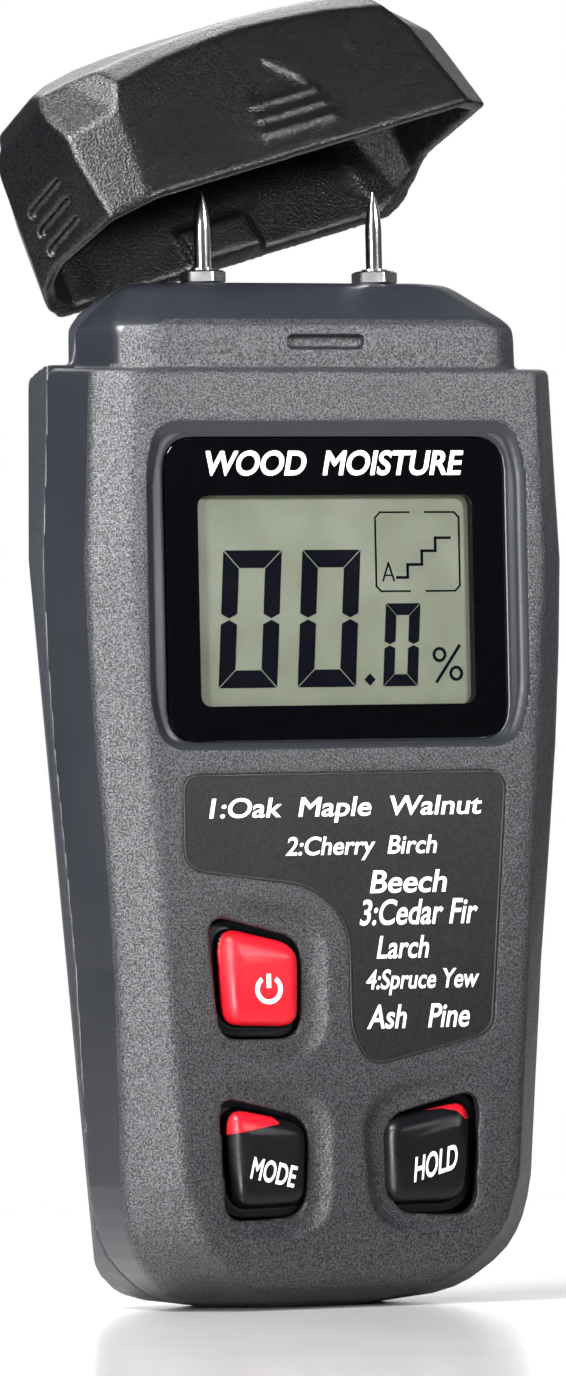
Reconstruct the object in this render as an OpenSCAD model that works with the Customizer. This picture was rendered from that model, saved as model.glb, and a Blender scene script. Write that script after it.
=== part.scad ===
// Two-pin wood moisture meter, standing upright on its lower end.
// Front face looks towards -Y, +Z runs up through the electrode pins,
// origin on the centre line at the lowest point of the housing.

/* [Housing] */
// greatest width of the housing
body_w = 68.8; // [68:0.2:69.4]
// thickness of the housing, front face to back face
body_d = 28; // [28:0.2:29]
// height of the ledge that the cap rests on, at the front
shoulder_z = 123; // [123:0.5:124]
// height of the head above the front ledge
head_h = 12; // [11.6:0.1:12.2]
// wall thickness of both shells
wall = 2; // [1.8:0.1:2]
// distance of the parting face behind the middle plane
part_y = 4.5; // [4.2:0.1:4.8]

/* [Cap] */
// height of the cap above the front ledge
cap_h = 28.6; // [28.2:0.1:29.2]
// wall thickness of the cap
cap_wall = 1.5; // [1.3:0.1:1.6]
// turn of the open cap away from its closed seat, in degrees
cap_open = 32.9; // [20:0.1:34]

/* [Electrodes] */
// distance between the two pin axes
pin_pitch = 25; // [24:0.5:26]
// pin shank diameter
pin_d = 2.2; // [2:0.1:2.4]
// length of pin standing above the head
pin_out = 12.3; // [11:0.1:12.6]
// width of the hexagon nuts across their flats
nut_af = 5.4; // [5:0.1:5.8]

/* [Display] */
// width of the black-bordered window
window_w = 49; // [48:0.5:50]
// lower edge of the window
window_z0 = 74.5; // [74:0.5:75]
// upper edge of the window
window_z1 = 114; // [113:0.5:114.5]

/* [Buttons] */
// how far a button goes in
press = 0.8; // [0.5:0.1:0.8]
// gap between a button and its opening
button_gap = 0.3; // [0.25:0.05:0.4]

/* [Battery] */
// width of the block battery
battery_w = 26.2; // [26:0.1:26.6]
// depth of the block battery
battery_d = 16.8; // [16.5:0.1:17]
// height of the battery case
battery_h = 46; // [45:0.5:46]

/* [Hidden] */
$fn = 40;

front_y = -body_d / 2;
back_y = body_d / 2;
seat = 0.12;             // running gap between the closed cap and its seat
far = 200;               // well outside the object

// half width of the housing at each height
width_table = [[0, 12], [0.45, 15], [0.9, 18.5], [1.7, 21], [2.8, 22.8], [5, 25.3],
    [7, 27], [9.5, 28.3], [12.5, 29.2], [16, 29.7], [29, 30.2], [45, 30.9], [58, 31.9],
    [74, 33.3], [86, 34], [98, 34.4], [114, 33.6], [131, 33]];
// how far the front face draws in near the lower end
sole_table = [[0, 10], [0.7, 6.5], [1.6, 4.5], [3, 2.5], [5.2, 1], [7.9, 0.3], [10.3, 0]];
heel = 2;                // short slant between the lower end and the back face
// straight lines that the long corners follow: height, half width, slope
front_lines = [[97, 30.3, 0.0715], [97, 30.3, -0.03]];
back_lines = [[99, 33.9, 0.08], [99, 33.9, -0.02]];
bevel_slope = 0.85;      // depth gained per width gained along the front bevel

function half_w(z) = lookup(z, width_table) * body_w / 68.8;
// height of a point near the lower end after the surface is moved in by e
function lifted(z, e) = z + e * max(0, 1 - z / 10.3);

// prism along X from an outline in Y and Z
module along_x(pts, width) {
    rotate([90, 0, 90]) linear_extrude(width, center = true) polygon(pts);
}

// prism along Y from an outline in X and Z, between two planes
module along_y(pts, y0, y1) {
    translate([0, y1, 0]) rotate([90, 0, 0]) linear_extrude(y1 - y0) polygon(pts);
}

// box from its two opposite corners
module box(a, b) {
    translate(a) cube(b - a);
}

// cylinder along Y between two planes
module rod_y(x, z, y0, y1, r) {
    translate([x, y1, z]) rotate([90, 0, 0]) cylinder(h = y1 - y0, r = r);
}

function unit(v) = v / norm(v);
function spot(c) = [c[0], c[1]];
function turn(v) = [-v[1], v[0]];
// outline moved in by d, corners listed anticlockwise as [x, z, reach]
function inset(c, d) = [for (i = [0:len(c) - 1])
    let(n = len(c), p = spot(c[i]),
        a = turn(unit(p - spot(c[(i + n - 1) % n]))),
        b = turn(unit(spot(c[(i + 1) % n]) - p)), q = p + (a + b) * d / (1 + a * b))
    [q[0], q[1], c[i][2]]];
// outline with softened corners, the curve starts at the reach of each corner
function soft(c, steps = 5) = [for (i = [0:len(c) - 1])
    let(n = len(c), p = spot(c[i]), a = spot(c[(i + n - 1) % n]), b = spot(c[(i + 1) % n]),
        s = p + unit(a - p) * min(c[i][2], norm(a - p) * 0.45),
        e = p + unit(b - p) * min(c[i][2], norm(b - p) * 0.45))
    for (k = [0:steps]) let(t = k / steps)
        (1 - t) * (1 - t) * s + 2 * t * (1 - t) * p + t * t * e];
function soft_box(x0, x1, z0, z1, r) =
    soft([[x0, z0, r], [x1, z0, r], [x1, z1, r], [x0, z1, r]]);
function flip(c) = [for (p = c) [-p[0], p[1]]];
// outline made symmetrical from its right half, listed upwards
function both(right) = concat(right, [for (i = [len(right) - 1:-1:0])
    if (right[i][0] > 0) [-right[i][0], right[i][1]]]);

// ---- housing ----

ledge_rise = 1.6;        // how far the ledge climbs towards the parting face
shoulder = [[front_y - 1, shoulder_z], [front_y + 4, shoulder_z + 0.2],
    [part_y, shoulder_z + ledge_rise], [part_y + 2.5, shoulder_z + ledge_rise - 0.5],
    [10, shoulder_z + 0.2], [12.5, shoulder_z - 1.4], [back_y + 1, shoulder_z - 2.8]];
head_top = shoulder_z + head_h;
head_w = 29.6;           // half width of the head
head_front = front_y + 2.7;
head_back = back_y - 3.3;

// everything below the ledge, lowered by d
module below_ledge(d) {
    along_x(concat([for (p = shoulder) [p[0], p[1] - d]],
        [[back_y + 1, -5], [front_y - 1, -5]]), far);
}

// upright prism from an outline in X and Y that leans along a line: height, x, slope
module leaning(line, e) {
    translate([line[1] * body_w / 68.8 - e, 0, line[0]]) rotate([0, atan(line[2]), 0])
        linear_extrude(far * 2, center = true) children();
}

// everything inside the two long corners of the right side
module right_corners(e) {
    f = front_y + e;
    r = back_y - e;
    intersection() {
        intersection_for(line = front_lines) leaning(line, e)
            polygon([[-far, f], [-0.9, f], [0, f + 0.4], [9, f + 0.4 + 9 * bevel_slope],
                [9, far], [-far, far]]);
        intersection_for(line = back_lines) leaning(line, e)
            polygon([[-far, -far], [2, -far], [2, r - 9.5], [0.6, r - 5.2], [-0.5, r - 2.6],
                [-2, r - 0.9], [-4, r], [-far, r]]);
    }
}

// the body of the housing below the ledge, with its surface moved in by e
module form(e) {
    top = shoulder_z + 8;
    intersection() {
        along_y(both([for (r = width_table) [half_w(r[0]) - e, lifted(r[0], e)]]),
            front_y - 1, back_y + 1);
        along_x(concat([[back_y - heel, e], [back_y - e, heel + e / 2], [back_y - e, top],
            [front_y + e, top]], [for (i = [len(sole_table) - 1:-1:0]) let(r = sole_table[i])
                [front_y + e + r[1], lifted(r[0], e)]]), far);
        right_corners(e);
        mirror([1, 0, 0]) right_corners(e);
        below_ledge(e == 0 ? 0 : e + 0.8);
    }
}

// the narrower head that the cap covers, with its surface moved in by e
module head(e) {
    z0 = shoulder_z - 8;
    w = head_w - e;
    t = head_top - e;
    f = head_front + e;
    r = head_back - e;
    intersection() {
        along_y(both([[w, z0], [w, shoulder_z + 1], [w - 0.4, t - 7.2], [w - 1.1, t - 5.6],
            [w - 6, t - 0.9], [w - 7.6, t]]), f, r);
        along_x([[f, z0], [f, t - 7.4], [f + 1.3, t - 4.9], [f + 5.6, t - 0.7],
            [f + 7.4, t], [r - 4, t], [r - 0.8, t - 3.5], [r, t - 6], [r, z0]], far);
        translate([0, 0, z0]) linear_extrude(t - z0) polygon(both([[w - 4.4, f],
            [w - 3.6, f + 0.3], [w - 0.4, f + 2.6], [w, f + 3.4], [w, r - 5],
            [w - 1.4, r - 2], [w - 4.4, r]]));
    }
}

module housing_wall() {
    difference() {
        union() {
            form(0);
            head(0);
        }
        form(wall);
        head(wall);
    }
}

// ---- display ----

window_edge = [[-window_w / 2, window_z0, 4.2], [window_w / 2, window_z0, 4.2],
    [window_w / 2, window_z1, 4.2], [-window_w / 2, window_z1, 4.2]];
recess_edge = [[-25.6, 73.4, 3.5], [25.2, 73.4, 3.5], [27.2, 80, 3], [27.2, 110, 3],
    [25.4, 116, 3], [-25.6, 116, 3], [-27.4, 110, 3], [-27.4, 80, 3]];
recess_deep = 0.7;       // how far the window frame lies below the front face
window_y = front_y + 1;  // outer face of the window
window_t = 1.2;
ledge_y = window_y + window_t;
glass_y = ledge_y + 1.3; // front face of the display glass
glass_t = 2;
view_x = 21;             // half width of the opening behind the window
view_z0 = 77.6;
view_z1 = 108.4;

// ---- label ----

label_edge = [[0.2, 50.5, 4], [0.3, 36, 2], [3.2, 31.4, 3], [19, 35, 1], [21.1, 36.4, 1.5],
    [23.8, 70.2, 3], [-23.2, 70.2, 2.5], [-23.2, 57.6, 3], [-5, 55.3, 4]];
label_deep = 0.35;
label_t = 0.3;

// ---- buttons ----

power_edge = [[-18.5, 35.5, 3], [-6.6, 35.5, 3], [-6.2, 48.4, 3], [-20, 52, 3.4]];
mode_edge = [[-18.2, 11.7, 3.2], [-6.4, 12.2, 3.2], [-5.6, 24.9, 3], [-19.1, 28.3, 3.4]];
power_mid = [-12.8, 43];
mode_mid = [-12.3, 19.2];
hold_mid = [12.3, 19.2];
// hollows in the front face beside the openings
power_dish = [[-8, 34.5, 1], [-4.4, 34.5, 2], [-3.2, 38, 2], [-3.2, 48, 2], [-7, 51, 1.5]];
mode_dish = [[-7.6, 11.2, 1], [-4.6, 11.6, 2], [-3.2, 15, 2], [-3.2, 25, 2], [-6.8, 28, 1.5]];
hold_dish = [[17, 11.2, 1], [19.4, 11.8, 2], [20.6, 16, 2], [20.6, 26, 2], [18.4, 29.4, 1.5]];
dish_deep = 0.9;
flange = 0.9;            // how far a button's flange reaches past its opening
flange_y = front_y + wall + 0.4;
flange_t = 1.1;
plunger_y = flange_y + flange_t;
switch_y = plunger_y + press + 0.1;
board_y = -7.5;          // front face of the circuit board
board_t = 1.4;
board_back = board_y + board_t;
button_rise = 0.9;       // how far a button stands in front of the front face

module button(edge) {
    body = inset(edge, button_gap);
    along_y(soft(inset(body, 0.9)), front_y - button_rise, front_y + 0.3);
    along_y(soft(body), front_y + 0.3, flange_y);
    along_y(soft(inset(body, -flange)), flange_y, plunger_y);
}

module plunger(mid) {
    rod_y(mid[0], mid[1], plunger_y, switch_y + 0.65, 1.7);
}

// the corner of a black button that is moulded in red
module red_corner() {
    along_y([[-21, 30], [-21, 23.4], [-17, 23.4], [-11.4, 26], [-11.4, 30]], front_y - 3,
        front_y - 0.2);
}

// ---- screws ----

case_screw_at = [[-22.4, 31.6], [22.4, 31.6], [-25.6, 114.2], [25.6, 114.2]];
board_screw_at = [[-19.4, 70.6], [19.4, 70.6], [0, 24]];
boss_r = 2.9;
thread_r = 1.3;          // case screw shank
head_r = 2.4;            // case screw head
head_y = 10.2;           // seat of the case screw heads
stud_r = 0.9;            // board screw shank

// ---- battery ----

battery_z = 12.2;
battery_y = 12.1 - battery_d / 2;
battery_top = battery_z + battery_h;
terminal_x = 6.35;       // half of the terminal pitch
terminal_r = [3.2, 2.0]; // stud and socket terminal
lead_x = 1.6;
lead_y = -2.6;
lead_r = 0.6;
door_w = 30.4;
door_z0 = 7.6;
door_z1 = 66;
door_t = 1.5;
bay_x = battery_w / 2 + 0.5;
bay_t = 1.2;

// ---- housing parts ----

module front_shell() {
    color([0.40, 0.41, 0.43]) difference() {
        union() {
            intersection() {
                housing_wall();
                box([-far, -far, -1], [far, part_y, far]);
            }
            // posts for the case screws and the board screws
            for (p = case_screw_at) rod_y(p[0], p[1], front_y + wall - 0.2, part_y, boss_r);
            for (p = board_screw_at) rod_y(p[0], p[1], front_y + wall - 0.2, board_y, 2.1);
            // seat of the window
            along_y(soft(inset(window_edge, -0.6)), front_y + 1, ledge_y + 1.2);
            // sleeves that hold the pin sockets
            for (s = [-1, 1]) translate([s * pin_pitch / 2, 0, head_top - 9])
                cylinder(h = 8, r = 4);
        }
        along_y(soft(recess_edge), front_y - 1, front_y + recess_deep);
        along_y(soft(inset(window_edge, -0.15)), front_y - 1, ledge_y);
        box([-view_x, front_y, view_z0], [view_x, 0, view_z1]);
        along_y(soft(label_edge), front_y - 1, front_y + label_deep);
        for (dish = [power_dish, mode_dish, hold_dish])
            along_y(soft(dish), front_y - 1, front_y + dish_deep);
        for (edge = [power_edge, mode_edge]) along_y(soft(edge), front_y - 1, flange_y);
        along_y(flip(soft(mode_edge)), front_y - 1, flange_y);
        // catch slot in the head
        box([-5.5, head_front - 1, shoulder_z + 2.9],
            [5.5, head_front + 1.2, shoulder_z + 4.7]);
        for (s = [-1, 1]) translate([s * pin_pitch / 2, 0, head_top - 10]) {
            cylinder(h = 8.8, r = 2.5);
            cylinder(h = 20, r = pin_d / 2 + 0.05);
        }
        for (p = case_screw_at) rod_y(p[0], p[1], -6.2, part_y + 1, thread_r);
        for (p = board_screw_at) rod_y(p[0], p[1], board_y - 3.4, board_y + 1, stud_r);
    }
}

module rear_shell() {
    color([0.36, 0.37, 0.39]) difference() {
        union() {
            intersection() {
                housing_wall();
                box([-far, part_y, -1], [far, far, far]);
            }
            for (p = case_screw_at) rod_y(p[0], p[1], part_y, back_y - 1, boss_r + 0.6);
            // side walls and roof of the battery bay
            for (s = [0, 1]) mirror([s, 0, 0])
                box([bay_x, -5.2, door_z0 + 1], [bay_x + bay_t, back_y - 1.9, door_z1 + 2]);
            box([-bay_x - 0.1, -5.2, door_z1 + 0.6], [bay_x + 0.1, back_y - 1.9, door_z1 + 2]);
        }
        // seat of the battery door
        along_y(soft_box(-door_w / 2 - 0.2, door_w / 2 + 0.2, door_z0 - 0.1, door_z1 + 0.2, 1),
            back_y - door_t - 0.15, back_y + 1);
        // battery opening
        box([-bay_x, part_y - 1, door_z0 + 1.2], [bay_x, back_y + 1, door_z1 - 1.4]);
        // slots for the two door tabs
        for (s = [-1, 1]) box([s * 9 - 3, part_y - 1, door_z0 - 2],
            [s * 9 + 3, back_y - door_t - 0.1, door_z0 + 4]);
        // lead gap in the roof
        box([-3, -6, door_z1 - 1], [3, -1, door_z1 + 3]);
        for (p = case_screw_at) {
            rod_y(p[0], p[1], part_y - 1, back_y, thread_r + 0.3);
            rod_y(p[0], p[1], head_y, back_y + 1, head_r + 0.2);
        }
    }
}

module case_screws() {
    color([0.62, 0.63, 0.65]) for (p = case_screw_at) {
        rod_y(p[0], p[1], -6, head_y, thread_r);
        rod_y(p[0], p[1], head_y, head_y + 1.7, head_r);
    }
}

module species_label() {
    color([0.23, 0.23, 0.24]) along_y(soft(inset(label_edge, 0.15)),
        front_y + label_deep - label_t, front_y + label_deep);
}

// ---- display parts ----

module display_window() {
    color([0.05, 0.05, 0.06]) along_y(soft(window_edge), window_y, ledge_y);
}

module lcd_frame() {
    color([0.92, 0.92, 0.90]) difference() {
        box([-24, glass_y, 74.4], [24, board_y - 0.4, 111.6]);
        box([-22.3, ledge_y, 75.9], [22.3, 0, 110.1]);
    }
}

module lcd_glass() {
    color([0.60, 0.63, 0.53]) box([-22.2, glass_y, 76], [22.2, glass_y + glass_t, 110]);
}

module lcd_backing() {
    color([0.80, 0.82, 0.74]) box([-21.6, glass_y + glass_t, 77.6],
        [21.6, glass_y + glass_t + 0.4, 108.4]);
}

module contact_strips() {
    color([0.85, 0.45, 0.50]) for (z = [76.1, 108.6])
        box([-21.5, glass_y + glass_t, z], [21.5, board_y, z + 1.3]);
}

// ---- circuit board ----

module circuit_board() {
    color([0.10, 0.32, 0.18]) difference() {
        along_y(both([[18.6, 9.6], [18.6, 36], [24, 38.5], [25.6, 60], [26.4, 72],
            [26.4, 108], [20.8, 112]]), board_y, board_back);
        for (p = board_screw_at) rod_y(p[0], p[1], board_y - 1, board_back + 1, 1.1);
    }
}

module controller_chip() {
    color([0.06, 0.06, 0.07]) box([-7.5, board_back, 84], [7.5, board_back + 1.6, 99]);
}

module board_components() {
    color([0.75, 0.68, 0.50]) {
        // chip resistors in two staggered columns, then a row of small capacitors
        for (i = [0:4]) translate([12 + (i % 2) * 4, board_back, 78 + i * 5])
            cube([2, 0.8, 3.2]);
        for (i = [0:3]) translate([-17, board_back, 80 + i * 6]) cube([3.2, 0.8, 2]);
        rod_y(-16, 106, board_back, board_back + 4, 2.5);
        rod_y(15, 107, board_back, board_back + 3, 1.6);
        box([-9, board_back, 103], [-4, board_back + 1.8, 107]);
    }
}

module switch_bodies() {
    color([0.20, 0.20, 0.22]) for (m = [power_mid, mode_mid, hold_mid]) difference() {
        box([m[0] - 3, switch_y, m[1] - 3], [m[0] + 3, board_y, m[1] + 3]);
        rod_y(m[0], m[1], switch_y - 1, switch_y + 1.6, 1.8);
    }
}

module board_screws() {
    color([0.62, 0.63, 0.65]) for (p = board_screw_at) {
        rod_y(p[0], p[1], board_y - 3.2, board_back, stud_r);
        rod_y(p[0], p[1], board_back, board_back + 1.2, 1.9);
    }
}

// ---- buttons ----

module power_button() {
    color([0.85, 0.10, 0.15]) button(power_edge);
}

module power_plunger() {
    color([0.15, 0.15, 0.15]) plunger(power_mid);
}

module black_button() {
    color([0.08, 0.08, 0.09]) difference() {
        button(mode_edge);
        red_corner();
    }
}

module red_insert() {
    color([0.80, 0.12, 0.16]) intersection() {
        button(mode_edge);
        red_corner();
    }
}

module mode_button() {
    black_button();
}

module mode_red_insert() {
    red_insert();
}

module mode_plunger() {
    color([0.15, 0.15, 0.15]) plunger(mode_mid);
}

module hold_button() {
    mirror([1, 0, 0]) black_button();
}

module hold_red_insert() {
    mirror([1, 0, 0]) red_insert();
}

module hold_plunger() {
    color([0.15, 0.15, 0.15]) plunger(hold_mid);
}

// ---- electrodes ----

point_h = 4.9;           // length of a pin's point
nut_h = 1.7;
socket_r = 2.45;
socket_z = head_top - 10;

module electrode(x) {
    r = pin_d / 2;
    shank = 5 + pin_out - point_h;
    translate([x, 0, head_top - 5]) {
        cylinder(h = shank, r = r);
        translate([0, 0, shank]) rotate_extrude() polygon([[0, 0], [r, 0],
            [r * 0.93, point_h * 0.2], [r * 0.76, point_h * 0.45],
            [r * 0.45, point_h * 0.75], [r * 0.14, point_h * 0.97], [0, point_h]]);
    }
}

module left_pin() {
    color([0.80, 0.81, 0.82]) electrode(-pin_pitch / 2);
}

module right_pin() {
    color([0.80, 0.81, 0.82]) electrode(pin_pitch / 2);
}

module pin_nuts() {
    color([0.72, 0.73, 0.74]) for (s = [-1, 1])
        translate([s * pin_pitch / 2, 0, head_top]) difference() {
            intersection() {
                cylinder(h = nut_h, r = nut_af / sqrt(3), $fn = 6);
                cylinder(h = nut_h, r1 = nut_af / 2 + 1.2, r2 = nut_af / 2 + 0.05);
            }
            translate([0, 0, -1]) cylinder(h = nut_h + 2, r = pin_d / 2);
        }
}

module pin_sockets() {
    color([0.80, 0.65, 0.30]) for (s = [-1, 1]) translate([s * pin_pitch / 2, 0, socket_z])
        difference() {
            cylinder(h = 8.75, r = socket_r);
            translate([0, 0, 5]) cylinder(h = 5, r = pin_d / 2);
        }
}

module pin_leads() {
    for (s = [-1, 1]) {
        top = [s * pin_pitch / 2, 0, socket_z - 0.3];
        run = top - [s * pin_pitch / 2, board_back + 0.7, 110.5];
        color([0.75, 0.15, 0.12]) translate(top)
            rotate([180 - atan2(run[1], run[2]), 0, 0]) cylinder(h = norm(run), r = lead_r);
    }
}

// ---- battery ----

module battery() {
    color([0.16, 0.17, 0.20]) along_y(soft_box(-battery_w / 2, battery_w / 2, battery_z,
        battery_top, 1.2), battery_y - battery_d / 2, battery_y + battery_d / 2);
}

module battery_terminals() {
    color([0.80, 0.80, 0.78]) for (i = [0, 1])
        translate([(2 * i - 1) * terminal_x, battery_y, battery_top])
            cylinder(h = 2.4, r = terminal_r[i]);
}

module battery_clip() {
    color([0.12, 0.12, 0.13]) difference() {
        box([-12.2, battery_y - 5.5, battery_top + 0.3], [12.2, battery_y + 5.5,
            battery_top + 5]);
        for (i = [0, 1]) translate([(2 * i - 1) * terminal_x, battery_y, battery_top])
            cylinder(h = 2.5, r = terminal_r[i] + 0.05);
    }
}

module battery_leads() {
    z0 = battery_top + 3.4;
    z1 = z0 + 16;
    color([0.70, 0.10, 0.10]) for (s = [-1, 1]) {
        rod_y(s * lead_x, z0, lead_y, battery_y - 5.5, lead_r);
        rod_y(s * lead_x, z1, board_back, lead_y, lead_r);
        translate([s * lead_x, lead_y, z0]) cylinder(h = z1 - z0, r = lead_r);
        for (z = [z0, z1]) translate([s * lead_x, lead_y, z]) sphere(r = lead_r);
    }
}

module battery_pad() {
    color([0.10, 0.10, 0.10]) box([-10, battery_y - 6, battery_z - 1.5],
        [10, battery_y + 4, battery_z]);
}

module battery_door() {
    inner = back_y - door_t;
    color([0.36, 0.37, 0.39]) {
        difference() {
            along_y(soft_box(-door_w / 2, door_w / 2, door_z0, door_z1, 1), inner, back_y);
            // grip ribs and arrow
            for (i = [0:3]) translate([-7, back_y - 0.5, 50 + i * 2.2]) cube([14, 1, 1.1]);
            along_y([[-4, 60], [4, 60], [0, 63.5]], back_y - 0.5, back_y + 1);
        }
        // two tabs that hook under the lower edge of the opening
        for (s = [-1, 1]) {
            box([s * 9 - 2.5, inner - 1.2, door_z0 - 1.6],
                [s * 9 + 2.5, inner - 0.3, door_z0 + 2.4]);
            box([s * 9 - 2.5, inner - 0.5, door_z0 + 1.2],
                [s * 9 + 2.5, inner + 0.1, door_z0 + 2.4]);
        }
        // spring catch below the upper edge
        box([-4, inner - 2.2, door_z1 - 3.4], [4, inner + 0.1, door_z1 - 2.2]);
    }
}

// ---- cap ----

cap_axis = [-0.7889, -0.5347, 0.3028];
cap_pivot = [-25.55, 37.33, 122.3];
cap_w = 33.3;            // half width of the cap at its rim
cap_lean = 11.5;         // lean of the cap's front and rear corners
// leaning planes over the crown: lean, start in Y, arched edge as x and height
crown_planes = [
    [54, front_y, [[40, 0], [25.7, 13.2], [23.5, 17], [14.8, 18.5], [8.4, 19.1], [0, 19.6]]],
    [22, front_y + 1.4, [[40, 16], [27.2, 19.4], [24, 20.1], [16, 21.1], [8, 21.6],
        [0, 21.8]]],
    [-60, back_y, [[40, 4], [29.5, 8], [28, 12.2], [24, 15], [16, 17.8], [8, 18.8],
        [0, 19]]]];

// the cap as one solid, standing on the ledge, with its surface moved in by e
module cap_form(e) {
    k = cap_h / 28.6;
    f = front_y + e;
    r = back_y - e;
    low = -7;
    translate([0, 0, shoulder_z]) intersection() {
        along_y(both([for (p = [[cap_w, low], [cap_w, 1], [32.8, 10], [31.6, 17],
            [30.7, 19.8], [28, 23.2], [23, 25.2], [16, 27], [8, 28.2], [0, 28.6]])
            [max(0, p[0] - e), p[1] < 18 ? p[1] : p[1] * k - e]]), front_y - 1, back_y + 1);
        along_x(concat([[f, low], [f, 19.6 * k - e / 2]], [for (p = [[-12.6, 21.8],
            [-10.5, 23.4], [-5, 25.6], [0, 27.4], [4, 28.5], [6.5, 28.6], [9, 27.4],
            [11.3, 24.2]]) [p[0] * (1 - e / 14), p[1] * k - e]],
            [[back_y - 1.2 - e, 20 * k - e], [r, 16 * k - e], [r, low]]), far);
        intersection_for(plane = crown_planes) crown_cut(plane, k, e);
        cap_corners(f, r, e);
        mirror([1, 0, 0]) cap_corners(f, r, e);
    }
}

// everything below one leaning plane, whose edge is an arch
module crown_cut(plane, k, e) {
    low = -far;
    drop = cos(plane[0]);
    y0 = plane[1] + (plane[0] > 0 ? e : -e);
    translate([0, y0, 0]) rotate([plane[0], 0, 0]) rotate([90, 0, 0])
        linear_extrude(far * 2, center = true) polygon(both(concat([[40, low]],
            [for (p = plane[2]) [p[0] < 30 ? max(0, p[0] - e) : p[0],
                (p[1] * k - e / 2) * drop]])));
}

// everything inside the long corners of the cap's right side
module cap_corners(f, r, e) {
    translate([28 - e, 0, 0]) rotate([0, -cap_lean, 0]) linear_extrude(far, center = true)
        polygon([[-far, f], [0, f], [12, f + 7.7], [12, r - 14], [5.3, r - 4.6],
            [3.6, r - 1.8], [0.8, r], [-far, r]]);
}

module closed_cap() {
    difference() {
        union() {
            difference() {
                cap_form(0);
                cap_form(cap_wall);
            }
            // catch box inside the rear wall, catch rib inside the front wall
            box([-6, back_y - cap_wall - 1, shoulder_z - 2.4],
                [6, back_y - cap_wall + 0.3, shoulder_z + 4.4]);
            box([-4.5, front_y + cap_wall - 0.3, shoulder_z + 3.2],
                [4.5, front_y + cap_wall + 0.6, shoulder_z + 4.4]);
            // three raised bars on the front
            for (i = [0:2]) translate([0, 0, shoulder_z + 8.05 - 2.15 * i])
                along_y(soft_box(-5.7 - 0.4 * i, 5.7 + 0.4 * i, 0, 0.8, 0.3), front_y - 0.3,
                    front_y + 0.3);
        }
        below_ledge(-seat);
        // three grip slots on each side
        for (s = [-1, 1]) for (i = [0:2])
            translate([s * (33.2 - 0.2 * i), 0, shoulder_z + 3.9 + 2.9 * i])
                box([-0.7, -4, -0.6], [0.7, 4, 0.6]);
        // arrowhead on the front
        translate([0, 0, shoulder_z]) along_y([[0, 14.3], [-5.3, 9.4], [5.3, 9.4]],
            front_y - 1, front_y + 0.3);
    }
}

module cap_shell() {
    color([0.12, 0.12, 0.13]) translate(cap_pivot) rotate(a = cap_open, v = cap_axis)
        translate(-cap_pivot) closed_cap();
}

front_shell();
rear_shell();
display_window();
lcd_frame();
lcd_glass();
lcd_backing();
contact_strips();
species_label();
circuit_board();
controller_chip();
board_components();
switch_bodies();
power_button();
power_plunger();
mode_button();
mode_red_insert();
mode_plunger();
hold_button();
hold_red_insert();
hold_plunger();
left_pin();
right_pin();
pin_nuts();
pin_sockets();
pin_leads();
battery();
battery_terminals();
battery_clip();
battery_leads();
battery_pad();
battery_door();
case_screws();
board_screws();
cap_shell();
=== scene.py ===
import math

import bmesh
import bpy
import numpy as np
from mathutils import Matrix, Vector


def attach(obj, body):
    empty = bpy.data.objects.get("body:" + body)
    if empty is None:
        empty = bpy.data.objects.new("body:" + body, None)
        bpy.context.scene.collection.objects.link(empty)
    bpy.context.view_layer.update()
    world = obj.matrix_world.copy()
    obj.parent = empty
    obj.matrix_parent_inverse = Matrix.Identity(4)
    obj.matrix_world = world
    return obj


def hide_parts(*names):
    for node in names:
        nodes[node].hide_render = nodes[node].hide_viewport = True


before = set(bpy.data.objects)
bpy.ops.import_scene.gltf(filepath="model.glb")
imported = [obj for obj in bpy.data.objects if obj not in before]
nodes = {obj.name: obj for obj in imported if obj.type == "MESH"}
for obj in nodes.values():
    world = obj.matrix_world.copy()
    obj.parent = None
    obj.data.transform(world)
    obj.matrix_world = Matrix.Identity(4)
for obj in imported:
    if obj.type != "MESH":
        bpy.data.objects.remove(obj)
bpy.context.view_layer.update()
MM = 0.001

# ---------------------------------------------------------------- meshes


def new_object(name, verts_mm, faces, body="housing", smooth=True):
    """A mesh object from points in millimetres, riding on a body."""
    mesh = bpy.data.meshes.new(name)
    mesh.from_pydata([tuple(c * MM for c in v) for v in verts_mm], [], faces)
    obj = bpy.data.objects.new(name, mesh)
    bpy.context.scene.collection.objects.link(obj)
    tidy_normals(mesh)
    for p in mesh.polygons:
        p.use_smooth = smooth
    if body:
        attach(obj, body)
    return obj


def tidy_normals(mesh):
    """Turns every face of a closed mesh outwards."""
    bm = bmesh.new()
    bm.from_mesh(mesh)
    bmesh.ops.recalc_face_normals(bm, faces=bm.faces)
    bm.to_mesh(mesh)
    bm.free()


def soft(corners, steps=6):
    """An outline with softened corners, from (x, z, reach) corners."""
    out = []
    n = len(corners)
    for i in range(n):
        p = np.array(corners[i][:2], float)
        a = np.array(corners[i - 1][:2], float)
        b = np.array(corners[(i + 1) % n][:2], float)
        reach = corners[i][2]
        da, db = np.linalg.norm(a - p), np.linalg.norm(b - p)
        s = p + (a - p) / da * min(reach, da * 0.45)
        e = p + (b - p) / db * min(reach, db * 0.45)
        for k in range(steps + 1):
            t = k / steps
            out.append((1 - t) ** 2 * s + 2 * t * (1 - t) * p + t * t * e)
    return np.array(out)


def inset(outline, d):
    """An anticlockwise outline moved in by d."""
    nxt = np.roll(outline, -1, 0) - outline
    prv = outline - np.roll(outline, 1, 0)
    nxt = nxt / np.maximum(np.linalg.norm(nxt, axis=1), 1e-9)[:, None]
    prv = prv / np.maximum(np.linalg.norm(prv, axis=1), 1e-9)[:, None]
    a = np.stack([-prv[:, 1], prv[:, 0]], 1)
    b = np.stack([-nxt[:, 1], nxt[:, 0]], 1)
    return outline + (a + b) * d / (1 + (a * b).sum(1))[:, None]


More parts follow.
